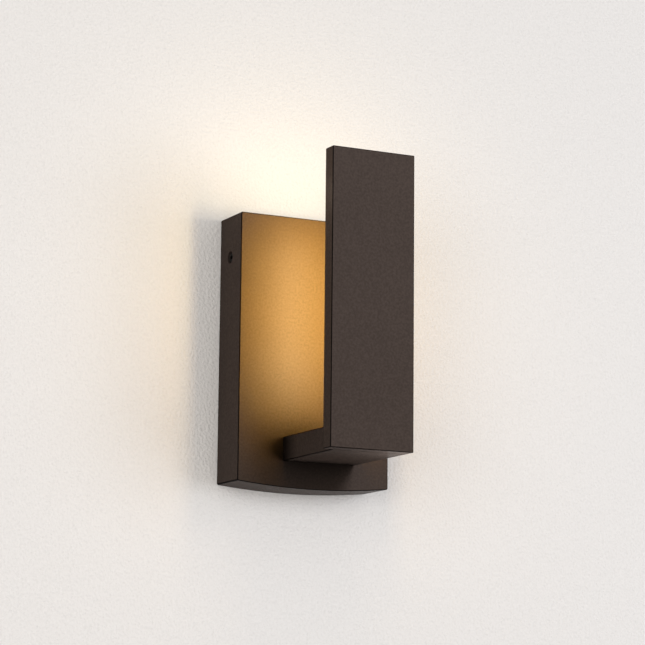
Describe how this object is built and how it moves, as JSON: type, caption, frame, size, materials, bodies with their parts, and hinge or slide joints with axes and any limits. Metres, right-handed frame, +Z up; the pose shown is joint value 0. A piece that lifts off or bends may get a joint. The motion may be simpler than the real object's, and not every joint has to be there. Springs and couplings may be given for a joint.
{
  "type": "outdoor wall light",
  "caption": "Outdoor wall light: shallow box canopy with a bowed lower edge, a short square tube arm and a tall flat panel whose hidden lens throws warm light back on canopy and wall",
  "frame": {"origin": "centre of the junction box screw pattern, on the wall plane", "axes": "+Y into the wall, +Z up, +X to the right as seen from in front of the light"},
  "size_m": [0.124, 0.1295, 0.2375],
  "materials": {
    "bronze_paint": "satin",
    "plated_steel": "satin",
    "black_screw": "satin",
    "bolt_steel": "satin",
    "black_rubber": "matte",
    "grey_foam": "matte",
    "silicone": "matte",
    "driver_plastic": "matte",
    "terminal_plastic": "satin",
    "circuit_board": "satin",
    "driver_parts": "satin",
    "white_board": "satin",
    "chip_phosphor": "satin",
    "opal_lens": "satin",
    "thermal_tape": "matte",
    "red_lead": "satin",
    "black_lead": "satin",
    "white_lead": "satin",
    "brass": "satin",
    "green_screw": "satin"
  },
  "bodies": {
    "fixture": {"canopy": "bronze_paint", "wall_gasket": "grey_foam", "mounting_plate": "plated_steel", "clinch_nuts": "plated_steel", "earth_screw": "green_screw", "driver_case": "driver_plastic", "driver_board": "circuit_board", "driver_parts": "driver_parts", "driver_lid": "driver_plastic", "driver_screws": "plated_steel", "terminal_block": "terminal_plastic", "terminal_screws": "brass", "arm": "bronze_paint", "arm_gasket": "black_rubber", "tie_bolts": "bolt_steel", "tie_washers": "plated_steel", "canopy_grommet": "black_rubber", "cover_grommet": "black_rubber", "panel_shell": "bronze_paint", "rear_cover": "bronze_paint", "cover_screws": "black_screw", "lens_gasket": "silicone", "diffuser_lens": "opal_lens", "led_board": "white_board", "thermal_tape": "thermal_tape", "led_chips": "chip_phosphor", "led_connector": "terminal_plastic", "line_lead": "black_lead", "neutral_lead": "white_lead", "led_lead_black": "black_lead", "led_lead_red": "red_lead"},
    "left_seal": {"left_screw_seal": "black_rubber"},
    "left_screw": {"left_side_screw": "black_screw"},
    "right_seal": {"right_screw_seal": "black_rubber"},
    "right_screw": {"right_side_screw": "black_screw"}
  },
  "joints": [
    {"name": "left_screw_travel", "type": "slide", "parent": "fixture", "child": "left_seal", "axis": [-1, 0, 0], "range_m": [0, 0.0042]},
    {"name": "left_screw_turn", "type": "hinge", "parent": "left_seal", "child": "left_screw", "pos_m": [-0.0586, -0.0175, 0.0685], "axis": [-1, 0, 0], "range_deg": [0, 2160]},
    {"name": "right_screw_travel", "type": "slide", "parent": "fixture", "child": "right_seal", "axis": [1, 0, 0], "range_m": [0, 0.0042]},
    {"name": "right_screw_turn", "type": "hinge", "parent": "right_seal", "child": "right_screw", "pos_m": [0.0586, -0.0175, 0.0685], "axis": [1, 0, 0], "range_deg": [0, 2160]}
  ],
  "couplings": [
    {"joint": "left_screw_turn", "follows": "left_screw_travel", "rad_per_m": 8976},
    {"joint": "right_screw_turn", "follows": "right_screw_travel", "rad_per_m": 8976}
  ]
}
